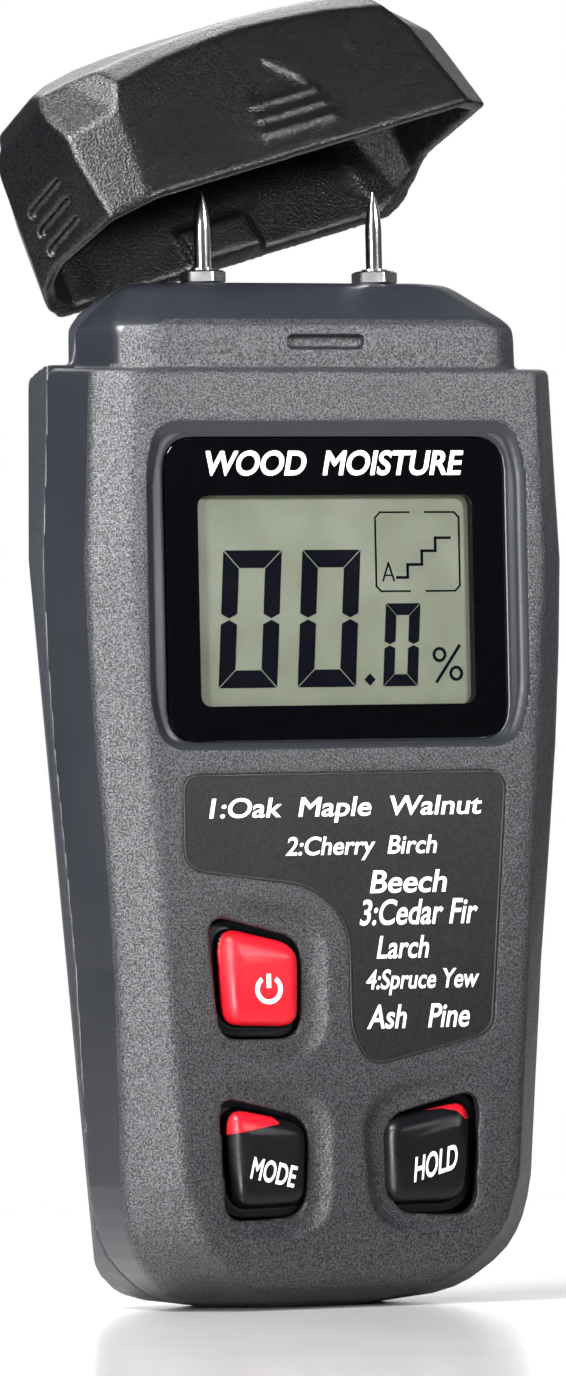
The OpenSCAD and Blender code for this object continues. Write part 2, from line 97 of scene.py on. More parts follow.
def rings_to_mesh(rings, close=True):
    """Points and faces of a closed skin through rings with the same number of points."""
    count = len(rings[0])
    verts = np.concatenate(rings)
    faces = []
    for r in range(len(rings) - 1):
        for i in range(count):
            j = (i + 1) % count
            faces.append((r * count + i, r * count + j, (r + 1) * count + j, (r + 1) * count + i))
    if close:
        faces.append(tuple(range(count))[::-1])
        faces.append(tuple(range((len(rings) - 1) * count, len(rings) * count)))
    return verts, faces


def plate(outline, levels):
    """Rings of an XZ outline at (inset, y) levels."""
    rings = []
    for d, y in levels:
        flat = inset(outline, d) if d else outline
        rings.append(np.stack([flat[:, 0], np.full(len(flat), y), flat[:, 1]], 1))
    return rings


def apply_modifiers(obj):
    """Bakes an object's modifiers into its mesh."""
    graph = bpy.context.evaluated_depsgraph_get()
    mesh = bpy.data.meshes.new_from_object(obj.evaluated_get(graph))
    obj.modifiers.clear()
    old = obj.data
    obj.data = mesh
    bpy.data.meshes.remove(old)


def carve(obj, cutter, operation="DIFFERENCE"):
    """Cuts, joins or intersects a mesh with a cutter, which is used up."""
    mod = obj.modifiers.new("carve", "BOOLEAN")
    mod.operation = operation
    mod.solver = "MANIFOLD"
    mod.object = cutter
    apply_modifiers(obj)
    bpy.data.objects.remove(cutter)


def soften(obj, voxel_mm, rounds, keep):
    """Rounds every edge of a closed mesh a little, as moulding does."""
    mod = obj.modifiers.new("remesh", "REMESH")
    mod.mode = "VOXEL"
    mod.voxel_size = voxel_mm * MM
    mod.use_smooth_shade = True
    mod = obj.modifiers.new("smooth", "SMOOTH")
    mod.factor = 0.5
    mod.iterations = rounds
    if keep < 1:
        mod = obj.modifiers.new("thin_out", "DECIMATE")
        mod.ratio = keep
    apply_modifiers(obj)
    for p in obj.data.polygons:
        p.use_smooth = True


def copy_of(node, name, body):
    """A free copy of a CAD node's mesh, which stands for the node."""
    obj = bpy.data.objects.new(name, nodes[node].data.copy())
    bpy.context.scene.collection.objects.link(obj)
    obj.data.materials.clear()
    bm = bmesh.new()
    bm.from_mesh(obj.data)
    bmesh.ops.remove_doubles(bm, verts=bm.verts, dist=1e-6)
    bm.to_mesh(obj.data)
    bm.free()
    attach(obj, body)
    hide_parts(node)
    return obj


# ---------------------------------------------------------------- materials


class Nodes:
    """Short names for building a node material."""

    def __init__(self, name):
        self.mat = bpy.data.materials.new(name)
        self.mat.use_nodes = True
        self.tree = self.mat.node_tree
        self.shader = self.tree.nodes["Principled BSDF"]

    def add(self, kind, **values):
        node = self.tree.nodes.new(kind)
        for key, value in values.items():
            if key in node.inputs:
                node.inputs[key].default_value = value
            else:
                setattr(node, key, value)
        return node

    def link(self, a, b):
        self.tree.links.new(a, b)

    def noise(self, scale, detail=2.0, rough=0.5):
        tex = self.add("ShaderNodeTexNoise")
        tex.inputs["Scale"].default_value = scale
        tex.inputs["Detail"].default_value = detail
        tex.inputs["Roughness"].default_value = rough
        self.link(self.place(), tex.inputs["Vector"])
        return tex.outputs["Fac"]

    def place(self):
        return self.add("ShaderNodeTexCoord").outputs["Object"]

    def ramp(self, fac, *stops):
        node = self.add("ShaderNodeValToRGB")
        ramp = node.color_ramp
        while len(ramp.elements) < len(stops):
            ramp.elements.new(0.5)
        for element, (pos, value) in zip(ramp.elements, stops):
            element.position = pos
            element.color = (*value, 1) if len(value) == 3 else value
        self.link(fac, node.inputs["Fac"])
        return node.outputs["Color"]

    def bump(self, height, distance, strength=1.0, normal=None):
        node = self.add("ShaderNodeBump")
        node.inputs["Strength"].default_value = strength
        node.inputs["Distance"].default_value = distance
        self.link(height, node.inputs["Height"])
        if normal:
            self.link(normal, node.inputs["Normal"])
        return node.outputs["Normal"]


def grey(v):
    return (v, v, v)


def grain(name, dark, light, rough, bump=0.00006, size=2600, wear=0.12, spec=0.5, glint=0.0):
    """Moulded plastic with a fine grain, cloudy gloss and slightly rubbed patches."""
    m = Nodes(name)
    speck = m.noise(size, 3.0, 0.6)
    m.link(m.ramp(speck, (0.38, dark), (0.62, light)), m.shader.inputs["Base Color"])
    cloud = m.noise(45, 1.0)
    lo, hi = max(rough - wear, 0.05), rough + wear
    m.link(m.ramp(cloud, (0.3, grey(lo)), (0.7, grey(hi))), m.shader.inputs["Roughness"])
    m.link(m.bump(speck, bump, 0.8), m.shader.inputs["Normal"])
    glints = m.ramp(speck, (0.42, grey(spec * (1 - glint))), (0.60, grey(spec * (1 + glint))))
    m.link(glints, m.shader.inputs["Specular IOR Level"])
    return m.mat


def plain(name, colour, rough, metal=0.0, size=900, depth=0.00001, spread=0.15, coat=0.0,
          spec=0.5):
    """A smooth surface with faint mottling, fine scratches and uneven gloss."""
    m = Nodes(name)
    speck = m.noise(size, 4.0, 0.6)
    dark = tuple(c * (1 - spread) for c in colour)
    light = tuple(min(1, c * (1 + spread)) for c in colour)
    m.link(m.ramp(speck, (0.3, dark), (0.7, light)), m.shader.inputs["Base Color"])
    cloud = m.noise(160, 3.0)
    m.link(m.ramp(cloud, (0.3, grey(max(rough * 0.8, 0.02))), (0.7, grey(min(rough * 1.25, 1)))),
           m.shader.inputs["Roughness"])
    m.link(m.bump(speck, depth, 0.5), m.shader.inputs["Normal"])
    m.shader.inputs["Metallic"].default_value = metal
    m.shader.inputs["Specular IOR Level"].default_value = spec
    m.shader.inputs["Coat Weight"].default_value = coat
    m.shader.inputs["Coat Roughness"].default_value = 0.05
    return m.mat


MATS = {
    "shell": grain("shell_grain", (0.007, 0.0075, 0.009), (0.033, 0.034, 0.038), 0.33,
                   bump=0.0002, size=4300, wear=0.03, spec=0.66, glint=0.55),
    # smooth, ungrained plastic for the sides, recess walls and key sockets; its darker colour is
    # painted shade
    "smooth_painted_shade": grain("smooth_plastic_painted_shade", (0.008, 0.009, 0.012), (0.014, 0.0155, 0.020), 0.33,
                   bump=0.00001, size=5200, wear=0.06),
    "rear": grain("rear_grain", (0.012, 0.013, 0.016), (0.024, 0.026, 0.031), 0.40,
                  bump=0.00003, size=4200, wear=0.06),
    "cap": grain("cap_grain", (0.0016, 0.0017, 0.0020), (0.0050, 0.0051, 0.0058), 0.27,
                 bump=0.00012, size=3200, wear=0.03, spec=0.38, glint=0.4),
    "red": plain("red_plastic", (0.60, 0.007, 0.016), 0.36, spec=0.3),
    "black_key": plain("black_plastic", (0.002, 0.0022, 0.003), 0.36, spec=0.25),
    "label": grain("label_film", (0.006, 0.006, 0.007), (0.014, 0.014, 0.0155), 0.5,
                   bump=0.00002, size=3200, spec=0.2),
    "label_edge": plain("label_edge", (0.004, 0.004, 0.004), 0.5),
    "white_ink": plain("white_ink", (0.86, 0.86, 0.86), 0.5, spread=0.04),
    "window": plain("window_black", (0.0008, 0.0008, 0.0012), 0.07, spread=0.3, spec=0.25),
    "lcd": plain("lcd_film", (0.070, 0.078, 0.052), 0.6, spread=0.02, size=400),
    "segment": plain("lcd_segment", (0.001, 0.0012, 0.003), 0.7, spec=0.03),
    "steel": plain("polished_steel", (0.70, 0.70, 0.71), 0.16, metal=1.0, spread=0.08, size=2500),
    "nickel": plain("plated_nut", (0.62, 0.62, 0.63), 0.24, metal=1.0, spread=0.08),
    "screw": plain("zinc_screw", (0.45, 0.46, 0.48), 0.32, metal=1.0),
    "brass": plain("turned_brass", (0.70, 0.50, 0.20), 0.25, metal=1.0),
    "board": plain("solder_mask", (0.012, 0.085, 0.04), 0.3, size=500),
    "chip": plain("chip_package", (0.012, 0.012, 0.013), 0.5),
    "part": plain("ceramic_parts", (0.30, 0.24, 0.15), 0.4),
    "white_frame": plain("white_moulding", (0.75, 0.75, 0.73), 0.4, spread=0.05),
    "glass": plain("display_glass", (0.36, 0.40, 0.27), 0.12, spread=0.05),
    "strip": plain("silicone_strip", (0.45, 0.16, 0.18), 0.6),
    "wire": plain("red_wire", (0.40, 0.02, 0.02), 0.4),
    "battery": plain("battery_case", (0.03, 0.035, 0.05), 0.3, metal=0.3),
    "foam": grain("foam_pad", (0.010, 0.010, 0.010), (0.030, 0.030, 0.030), 0.9, bump=0.0003,
                  size=1500, wear=0.05),
}

NODE_MATS = {
    "front_shell": "shell", "rear_shell": "rear", "battery_door": "rear", "cap_shell": "cap",
    "display_window": "window", "lcd_frame": "white_frame", "lcd_glass": "glass",
    "lcd_backing": "lcd", "contact_strips": "strip", "species_label": "label",
    "circuit_board": "board", "controller_chip": "chip", "board_components": "part",
    "switch_bodies": "chip", "power_button": "red", "power_plunger": "black_key",
    "mode_button": "black_key", "mode_red_insert": "red", "mode_plunger": "black_key",
    "hold_button": "black_key", "hold_red_insert": "red", "hold_plunger": "black_key",
    "left_pin": "steel", "right_pin": "steel", "pin_nuts": "nickel", "pin_sockets": "brass",
    "pin_leads": "wire", "battery": "battery", "battery_terminals": "nickel",
    "battery_clip": "black_key", "battery_leads": "wire", "battery_pad": "foam",
    "case_screws": "screw", "board_screws": "screw",
}


def paint(obj, key):
    obj.data.materials.clear()
    obj.data.materials.append(MATS[key])


for node_name, key in NODE_MATS.items():
    for slot in nodes[node_name].material_slots:
        slot.material = MATS[key]

# ---------------------------------------------------------------- shells

WIDTHS = [(0, 12), (0.45, 15), (0.9, 18.5), (1.7, 21), (2.8, 22.8), (5, 25.3), (7, 27),
          (9.5, 28.3), (12.5, 29.2), (16, 29.7), (29, 30.2), (45, 30.9), (58, 31.9), (74, 33.3),
          (86, 34), (98, 34.4), (114, 33.6), (131, 33)]
FRONTS = [(0, -4), (0.7, -7.5), (1.6, -9.5), (3, -11.5), (5.2, -13), (7.9, -13.7), (10.3, -14)]
BACKS = [(0, 12), (0.5, 13.1), (1.2, 13.7), (2, 14)]
BEVEL_X = [(0, 5), (1, 9), (3, 14.5), (6, 19), (10, 22.3), (16.6, 24.6), (60, 27.6), (97, 30.3),
           (120, 29.6), (131, 29.3)]
BEVEL_Y = [(0, 3), (1, 0), (3, -2.5), (6, -4.7), (10, -6.1), (16.6, -7), (40, -8.8), (60, -9.9),
           (97, -10.1), (131, -10)]
LEDGE = [(-14, 123), (-10, 123.2), (4.5, 124.6), (7, 124.1), (10, 123.2), (12.5, 121.6),
         (14, 120.6)]
PARTING = 4.5
WALL = 2.0


def at(table, v):
    """A value read from a table of (key, value) rows."""
    return float(np.interp(v, [r[0] for r in table], [r[1] for r in table]))


def mirrored(right):
    """A closed anticlockwise outline from its right half, front to back."""
    return right + [(-x, y, r) for x, y, r in reversed(right)]


def body_outline(z, e=0.0):
    """The housing's outline in XY at height z, moved in by e."""
    w = at(WIDTHS, z) - e
    f = at(FRONTS, z) + e
    r = at(BACKS, z) - e
    bevel_x = min(at(BEVEL_X, z) - 0.4 * e, w - 2)
    bevel_y = at(BEVEL_Y, z)
    t = min(max((z - 46) / 53, 0), 1)
    small = min(1, w / 29)
    back = [(5 + 4.4 * t, 0), (9.5 + 2.2 * t, 1.2 - 0.4 * t), (12.3 + 0.9 * t, 3 - 0.7 * t),
            (14, 5.5 - 0.9 * t)]
    right = [(bevel_x - 1, f, 0.7), (bevel_x, f + 0.4, 0.6), (w, bevel_y, 1.1)]
    right += [(w - dx * small, y - (14 - r) * (y / 14), 2) for y, dx in back]
    return soft(mirrored(right), 4)


def body_rings(e=0.0, top=0.0):
    """The housing below the ledge: rings up to the ledge, rounded over its rim."""
    low = [0, 0.2, 0.45, 0.9, 1.7, 2.8, 4, 5.2, 7, 9, 11, 13.5, 16.5, 22, 29, 37, 45, 52, 58, 66,
           74, 80, 86, 92, 98]
    rings = []
    for z in low:
        flat = body_outline(z, e)
        rings.append(np.column_stack([flat, np.full(len(flat), max(z, e))]))
    rim = [(t, 0, 0) for t in (0.25, 0.5, 0.75)]
    rim += [(1, 0, 1.0), (1, 0.12, 0.5), (1, 0.4, 0.15), (1, 0.9, 0)]
    for t, d, drop in rim:
        flat = body_outline(98 + 25 * t, e + d)
        peak = np.array([at(LEDGE, y) for y in flat[:, 1]]) - top
        rings.append(np.column_stack([flat, 98 + (peak - 98) * t - drop]))
    last = rings[-1]
    for s in (0.85, 0.6, 0.3, 0.03):
        rings.append(last * (s, 1, 1))
    return rings


HEAD_W = [(110, 29.6), (128.4, 29.2), (129.3, 28.9), (130.2, 28.1), (134.2, 23.8),
          (134.8, 22.9), (135, 22)]
HEAD_F = [(110, -11.3), (127.4, -11.3), (128.9, -10.9), (130.1, -9.8), (134, -5), (134.7, -4.0),
          (135, -2.6)]
HEAD_R = [(110, 10.7), (129, 10.7), (132, 9.6), (134, 8), (135, 6.4)]


def head_rings(e=0.0):
    """The head, which carries the pins, moved in by e."""
    rings = []
    for z in (116, 124, 127.4, 128.2, 128.9, 129.5, 130.2, 131.5, 133, 134, 134.5, 134.8, 135):
        w, f, r = at(HEAD_W, z) - e, at(HEAD_F, z) + e, at(HEAD_R, z) - e
        flat = soft(mirrored([(w - 4.4, f, 1.2), (w, f + 3.1, 1.4), (w, r - 4, 2),
                              (w - 3.6, r, 2)]), 4)
        rings.append(np.column_stack([flat, np.full(len(flat), z - e)]))
    return rings


def loose(rings, name="cutter"):
    """A closed skin that rides on no body yet."""
    verts, faces = rings_to_mesh([np.asarray(r) for r in rings])
    return new_object(name, verts, faces, body=None)


def block(a, b):
    """A box between two corners."""
    (x0, y0, z0), (x1, y1, z1) = a, b
    outline = np.array([(x0, z0), (x1, z0), (x1, z1), (x0, z1)], float)
    return loose(plate(outline, [(0, y0), (0, y1)]))


def dish(outline, faint, full):
    """A rounded hollow around a key, fading out from one x towards another."""
    rings = plate(outline, [(-0.6, -14.9), (-0.3, -14.1), (0.15, -13.9), (0.7, -13.55), (1.4, -13.2),
                            (2.2, -13.0)])
    for ring in rings[2:]:
        share = np.clip((ring[:, 0] - faint) / (full - faint), 0, 1)
        ring[:, 1] = -14.15 + (ring[:, 1] + 14.15) * share
    return loose(rings)


# outlines of the hollows around the keys, with the x where each is faint and where it is full
DISHES = [
    ([(-20.6, 33.2, 1), (-7.2, 32.4, 3.4), (-3.0, 35.4, 3.4), (-2.9, 48.9, 3.4), (-6.2, 52.4, 3.4),
      (-20.6, 55.6, 1)], -21.5, -9),
    ([(-20.2, 9.2, 1), (-7.6, 8.8, 3.4), (-2.9, 12.2, 3.4), (-2.6, 25.4, 3.4), (-5.8, 29.4, 3.4),
      (-20.6, 31.4, 1)], -21.5, -9),
    ([(2.6, 12.2, 3.4), (7.4, 8.8, 3.4), (20.2, 10.4, 1), (20.6, 31.6, 1), (5.6, 29.2, 3.4),
      (1.4, 25.2, 3.4)], 21.5, 9),
]


def case_half(name, node, keep):
    """One half of the hollow housing, cut at the parting face."""
    case = loose(body_rings(), name)
    carve(case, loose(head_rings()), "UNION")
    hollow = loose(body_rings(WALL, WALL + 0.9))
    carve(hollow, loose(head_rings(WALL)), "UNION")
    carve(case, hollow)
    carve(case, block(*keep), "INTERSECT")
    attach(case, "housing")
    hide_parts(node)
    return case


WINDOW = soft([(-24.5, 74.5, 4.2), (24.5, 74.5, 4.2), (24.5, 114, 4.2), (-24.5, 114, 4.2)])
RECESS = soft([(-25.6, 73.4, 3.5), (25.2, 73.4, 3.5), (27.2, 80, 3), (27.2, 110, 3),
               (25.4, 116, 3), (-25.6, 116, 3), (-27.4, 110, 3), (-27.4, 80, 3)])
LABEL = soft([(0.2, 50.5, 4), (0.3, 36, 2), (3.2, 31.4, 3), (19, 35, 1), (21.1, 36.4, 1.5),
              (23.8, 70.2, 3), (-23.2, 70.2, 2.5), (-23.2, 57.6, 3), (-5, 55.3, 4)])
POWER = soft([(-18.5, 35.5, 3), (-6.6, 35.5, 3), (-6.2, 48.4, 3), (-20, 52, 3.4)])
MODE = soft([(-18.2, 11.7, 3.2), (-6.4, 12.2, 3.2), (-5.6, 24.9, 3), (-19.1, 28.3, 3.4)])
HOLD = (MODE * (-1, 1))[::-1]
LIP = [(-0.7, -14.6), (-0.45, -14.02), (-0.2, -13.85), (-0.05, -13.6), (0, -13.3)]


HEAD_FOOT = 124
SMOOTH_SHADE_FLOOR_Y = -13.93
SOCKET_Y = -12.2


def front_case():
    """The front shell, grained in front and smooth on its sides and in its recesses; the sides,
    recesses and key sockets are also painted darker as shade.
    """
    case = case_half("front_case", "front_shell", ((-60, -30, -5), (60, PARTING, 160)))
    carve(case, loose(plate(RECESS, [(-0.9, -14.5), (-0.35, -14), (0.5, -13.5), (0.9, -13.1)])))
    carve(case, loose(plate(WINDOW, [(-0.15, -15), (-0.15, -11)])))
    carve(case, loose(plate(LABEL, [(-0.2, -14.4), (-0.05, -14), (0, -13.65)])))
    for outline in (POWER, MODE, HOLD):
        carve(case, loose(plate(outline, LIP + [(0, -10)])))
    for outline, shallow, deep in DISHES:
        carve(case, dish(soft(outline), shallow, deep))
    slot = soft([(-5.5, 125.9, 0.5), (5.5, 125.9, 0.5), (5.5, 127.6, 0.5), (-5.5, 127.6, 0.5)])
    carve(case, loose(plate(slot, [(-0.2, -12), (-0.15, -11.35), (0, -11.1), (0, -10.1)])))
    soften(case, 0.3, 3, 0.4)
    paint(case, "shell")
    case.data.materials.append(MATS["smooth_painted_shade"])
    # faces turned away from the front, recess walls and socket walls take the darker smooth
    # material: a real smooth finish, with painted shade in its darker colour
    for face in case.data.polygons:
        x, y, z = (c / MM for c in face.center)
        n = face.normal
        grainy = n.y < (-0.72 if z > HEAD_FOOT else -0.05)
        in_recess = abs(x) < 27.6 and 73.2 < z < 116.4 and y > SMOOTH_SHADE_FLOOR_Y
        in_socket = abs(x) < 22 and 10 < z < 56 and y > SOCKET_Y
        face.material_index = 0 if grainy and not in_recess and not in_socket else 1


CAP_AXIS = Vector((-0.7889, -0.5347, 0.3028))
CAP_PIVOT = Vector((-25.55, 37.33, 122.3)) * MM
CAP_OPEN = math.radians(32.9)
OPENED = (Matrix.Translation(CAP_PIVOT) @ Matrix.Rotation(CAP_OPEN, 4, CAP_AXIS)
          @ Matrix.Translation(-CAP_PIVOT))


def joined(pieces):
    """Several loose pieces as one."""
    bm = bmesh.new()
    for piece in pieces:
        bm.from_mesh(piece.data)
        bpy.data.objects.remove(piece)
    mesh = bpy.data.meshes.new("joined")
    bm.to_mesh(mesh)
    bm.free()
    obj = bpy.data.objects.new("joined", mesh)
    bpy.context.scene.collection.objects.link(obj)
    return obj


def cap_details(cap):
    """Arrowhead, bars and side grips, set in the closed cap and then opened with it."""
    cuts = [loose(plate(soft([(-5.5, 131.6, 0.4), (5.5, 131.6, 0.4), (0, 137.4, 0.4)]),
                        [(-0.15, -14.4), (0, -13.9), (0.15, -13.72)]))]
    for i in range(3):
        z = 126.9 + 2.9 * i
        for side in (-1, 1):
            x = side * (33.1 - 0.2 * i)
            outline = soft([(x - 0.9, z - 0.65, 0.3), (x + 0.9, z - 0.65, 0.3),
                            (x + 0.9, z + 0.65, 0.3), (x - 0.9, z + 0.65, 0.3)])
            cuts.append(loose(plate(outline, [(0.4, -4.6), (0, -4.1), (0, 4.1), (0.4, 4.6)])))
    cutter = joined(cuts)
    cutter.data.transform(OPENED)
    carve(cap, cutter)
    bars = []
    for i in range(3):
        z, half = 131.45 - 2.15 * i, 5.7 + 0.4 * i
        outline = soft([(-half, z - 0.42, 0.3), (half, z - 0.42, 0.3), (half, z + 0.42, 0.3),
                        (-half, z + 0.42, 0.3)])
        bars.append(loose(plate(outline, [(0, -13.6), (0, -14.15), (0.12, -14.28)])))
    ridge = joined(bars)
    ridge.data.transform(OPENED)
    carve(cap, ridge, "UNION")


front_case()
# node, name, body, voxel size in mm, rounds of smoothing, share of faces kept
SHELLS = [("rear_shell", "rear_case", "housing", 0.42, 4, 0.35),
          ("cap_shell", "cap_skin", "cap", 0.36, 14, 1),
          ("battery_door", "door_skin", "door", 0.35, 3, 0.4)]
for node_name, name, body, voxel, rounds, keep in SHELLS:
    piece = copy_of(node_name, name, body)
    soften(piece, voxel, rounds, keep)
    if node_name == "cap_shell":
        cap_details(piece)
        soften(piece, 0.3, 1, 0.4)
    paint(piece, NODE_MATS[node_name])

# ---------------------------------------------------------------- keys


DOME = [(0.8, 0.02), (0.6, 0.035), (0.4, 0.04), (0.2, 0.045), (0.02, 0.045)]


def crowned(outline, levels, centre):
    """Rings over a domed top that closes on a centre point."""
    rings = plate(outline, levels)
    last = rings[-1]
    c = np.array([centre[0], last[0][1], centre[1]])
    for s, rise in DOME:
        ring = c + (last - c) * s
        ring[:, 1] = last[0][1] - rise
        rings.append(ring)
    return rings


# a flange under the shell, then the side and the rounded rim, as (inset, y)
KEY_LEVELS = [(-1.5, -10.5), (-1.5, -11.6), (0, -11.6), (0, -12.6), (0.1, -13.3),
              (0.35, -13.85), (0.7, -14.2), (1.1, -14.48), (1.6, -14.62), (2.1, -14.66)]
POWER_CAP = soft([(-17.7, 37.4, 2.6), (-7.1, 37.0, 2.4), (-6.9, 47.7, 2.6), (-18.4, 50.5, 3.6)])
MODE_CAP = soft([(-16.8, 13.5, 2.6), (-6.7, 13.7, 2.4), (-6.2, 24.3, 2.6), (-18.0, 27.1, 3.6)])
HOLD_CAP = soft([(5.2, 13.5, 2.4), (16.4, 13.4, 3), (17.7, 19, 3), (18.2, 27.2, 3.6),
                 (5.0, 24.4, 2.4)])


KEY_SIDE_Y = -12.9
FLANGE_Y = -12.5


def key_top(v, side, low):
    """Sinks the upper band and the outer flank of a key's face, with a ridge between."""
    x, y, z = v
    if y > KEY_SIDE_Y:
        return v
    top = max(0, z - low)
    flank = max(0, side * x - 16.2)
    return np.array([x, y + min(1.5, 0.26 * top + 0.5 * flank), z])


def make_key(node, body, outline, centre, side, split_z, mat):
    """A key with a domed face, on a black flange that closes its socket."""
    rings = crowned(outline, KEY_LEVELS, centre)
    rings = [np.array([key_top(v, side, split_z) for v in r]) for r in rings]
    verts, faces = rings_to_mesh(rings)
    key = new_object(node + "_cap", verts, faces, body)
    soften(key, 0.2, 5, 0.5)
    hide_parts(node)
    paint(key, mat)
    key.data.materials.append(MATS["black_key"])
    for face in key.data.polygons:
        face.material_index = 1 if face.center.y > FLANGE_Y * MM else 0
    return key


make_key("power_button", "power_key", POWER_CAP, (-12.6, 42.6), -1, 46.2, "red")
mode_key = make_key("mode_button", "mode_key", MODE_CAP, (-12.2, 19), -1, 23.2, "black_key")
hold_key = make_key("hold_button", "hold_key", HOLD_CAP, (12.2, 19), 1, 23.2, "black_key")



def red_corner(key, corner, node, body):
    """The red moulded corner of a key: the part of its top inside an outline."""
    piece = bpy.data.objects.new(node + "_skin", key.data.copy())
    bpy.context.scene.collection.objects.link(piece)
    for v in piece.data.vertices:
        v.co += v.normal * 0.04 * MM
    carve(piece, loose(plate(np.array(corner, float), [(0, -15.2), (0, -12.9)])), "INTERSECT")
    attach(piece, body)
    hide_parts(node)
    paint(piece, "red")


red_corner(mode_key, [(-19.6, 22.8), (-10.3, 24.4), (-11.2, 25.6), (-12.2, 28.6), (-20, 29)],
           "mode_red_insert", "mode_key")
red_corner(hold_key, [(10.6, 25.5), (13.5, 25.8), (15.4, 25.4), (16.6, 24.3), (19, 24.4),
                      (19, 29), (9, 29)], "hold_red_insert", "hold_key")

# ---------------------------------------------------------------- electrodes


def turned(name, x, profile, node, mat, sides=48, body="housing"):
    """A piece turned from a (radius, height) profile."""
    rings = []
    for r, z in profile:
        a = np.linspace(0, 2 * math.pi, sides, endpoint=False)
        rings.append(np.column_stack([x + r * np.cos(a), r * np.sin(a), np.full(sides, z)]))
    verts, faces = rings_to_mesh(rings)
    obj = new_object(name, verts, faces, body)
    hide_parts(node)
    paint(obj, mat)
    return obj


PIN_PITCH = 25.0
# radius and height up a pin, from its socket to its point
PIN = [(0.95, 130), (1.1, 130.2), (1.1, 136.9), (1.1, 137.0), (1.1, 141.8), (1.09, 142.4),
       (1.04, 143.1), (0.94, 143.9), (0.8, 144.8), (0.62, 145.6), (0.42, 146.3), (0.22, 146.9),
       (0.08, 147.22), (0.02, 147.3)]
for side, label in ((-1, "left"), (1, "right")):
    turned(label + "_electrode", side * PIN_PITCH / 2, PIN, label + "_pin", "steel")


def hex_ring(x, across, z):
    """A hexagon's corners with three points along each side, as a ring."""
    corners = [(across / math.sqrt(3) * math.cos(math.radians(30 + 60 * i)),
                across / math.sqrt(3) * math.sin(math.radians(30 + 60 * i))) for i in range(6)]
    pts = []
    for i in range(6):
        a, b = np.array(corners[i]), np.array(corners[(i + 1) % 6])
        for t in (0.06, 0.5, 0.94):
            pts.append((x + a[0] + (b[0] - a[0]) * t, a[1] + (b[1] - a[1]) * t, z))
    return np.array(pts)


def round_ring(x, r, z):
    """A circle with its points at the angles of a hexagon ring's."""
    out = []
    for px, py, _ in hex_ring(0, 2, 0):
        a = math.atan2(py, px)
        out.append((x + r * math.cos(a), r * math.sin(a), z))
    return np.array(out)


nut_faces, nut_verts = [], []
for side in (-1, 1):
    x = side * PIN_PITCH / 2
    rings = [round_ring(x, 2.55, 135.0), hex_ring(x, 5.4, 135.18), hex_ring(x, 5.4, 136.45),
             round_ring(x, 2.5, 136.7), round_ring(x, 1.75, 136.7), round_ring(x, 1.7, 136.95),
             round_ring(x, 1.12, 137.0), round_ring(x, 1.12, 135.0)]
    v, f = rings_to_mesh(rings, close=False)
    n = len(rings[0])
    top = (len(rings) - 1) * n
    f += [(top + i, top + (i + 1) % n, (i + 1) % n, i) for i in range(n)]
    nut_faces += [tuple(i + len(nut_verts) for i in face) for face in f]
    nut_verts += list(v)
nuts = new_object("hex_nuts", nut_verts, nut_faces, smooth=False)
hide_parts("pin_nuts")
paint(nuts, "nickel")

# ---------------------------------------------------------------- display, label, lettering


def frame_plate(outer, inner, levels, name, body="housing"):
    """A flat ring between two outlines, with softened rims, at (outer inset, inner inset, y)."""
    rings = []
    for a, b, y in levels:
        flat = inset(outer, a) if b is None else inset(inner, b)
        rings.append(np.column_stack([flat[:, 0], np.full(len(flat), y), flat[:, 1]]))
    verts, faces = rings_to_mesh(rings, close=False)
    count = len(rings[0])
    top = (len(rings) - 1) * count
    faces += [(top + i, top + (i + 1) % count, (i + 1) % count, i) for i in range(count)]
    return new_object(name, verts, faces, body)


VIEW = soft([(-19.8, 79, 1.6), (19.8, 79, 1.6), (19.8, 106.5, 1.6), (-19.8, 106.5, 1.6)])
window = frame_plate(WINDOW, VIEW, [(0, None, -11.8), (0, None, -12.95), (0.05, None, -13),
                                    (0, -0.1, -13), (0, 0, -12.9), (0, 0, -11.8)], "window_border")
for face in window.data.polygons:
    face.use_smooth = False
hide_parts("display_window")
paint(window, "window")

CELL = np.array([(-22.2, 76), (22.2, 76), (22.2, 110), (-22.2, 110)], float)
verts, faces = rings_to_mesh(plate(CELL, [(0, -8.5), (0, -10.5), (1.9, -10.5), (1.9, -11.75)]))
cell = new_object("lcd_cell", verts, faces, smooth=False)
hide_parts("lcd_glass")
paint(cell, "lcd")


def shape_set(name, polygons, y0, y1, mat, body="housing"):
    """Thin raised shapes from XZ outlines, joined in one piece."""
    verts, faces = [], []
    for outline in polygons:
        v, f = rings_to_mesh(plate(np.asarray(outline, float), [(0, y0), (0, y1)]))
        faces += [tuple(i + len(verts) for i in face) for face in f]
        verts += list(v)
    obj = new_object(name, verts, faces, body, smooth=False)
    paint(obj, mat)
    return obj


def zero(x0, x1, z0, z1, t, slant=0.06):
    """The six lit bars of a seven-bar figure 0, t wide, with a thin gap between bars."""
    g = t * 0.05
    m = (z0 + z1) / 2
    h = t / 2
    over, under = m + h * 0.6, m - h * 0.6
    bars = [
        [(x0 + g, z1), (x1 - g, z1), (x1 - t - g, z1 - t), (x0 + t + g, z1 - t)],
        [(x0 + g, z0), (x0 + t + g, z0 + t), (x1 - t - g, z0 + t), (x1 - g, z0)],
        [(x0, z1 - g), (x0 + t, z1 - t - g), (x0 + t, over), (x0 + h, m + g), (x0, over)],
        [(x0, z0 + g), (x0, under), (x0 + h, m - g), (x0 + t, under), (x0 + t, z0 + t + g)],
        [(x1, z1 - g), (x1, over), (x1 - h, m + g), (x1 - t, over), (x1 - t, z1 - t - g)],
        [(x1, z0 + g), (x1 - t, z0 + t + g), (x1 - t, under), (x1 - h, m - g), (x1, under)],
    ]
    return [[(x + (z - z0) * slant, z) for x, z in bar] for bar in bars]


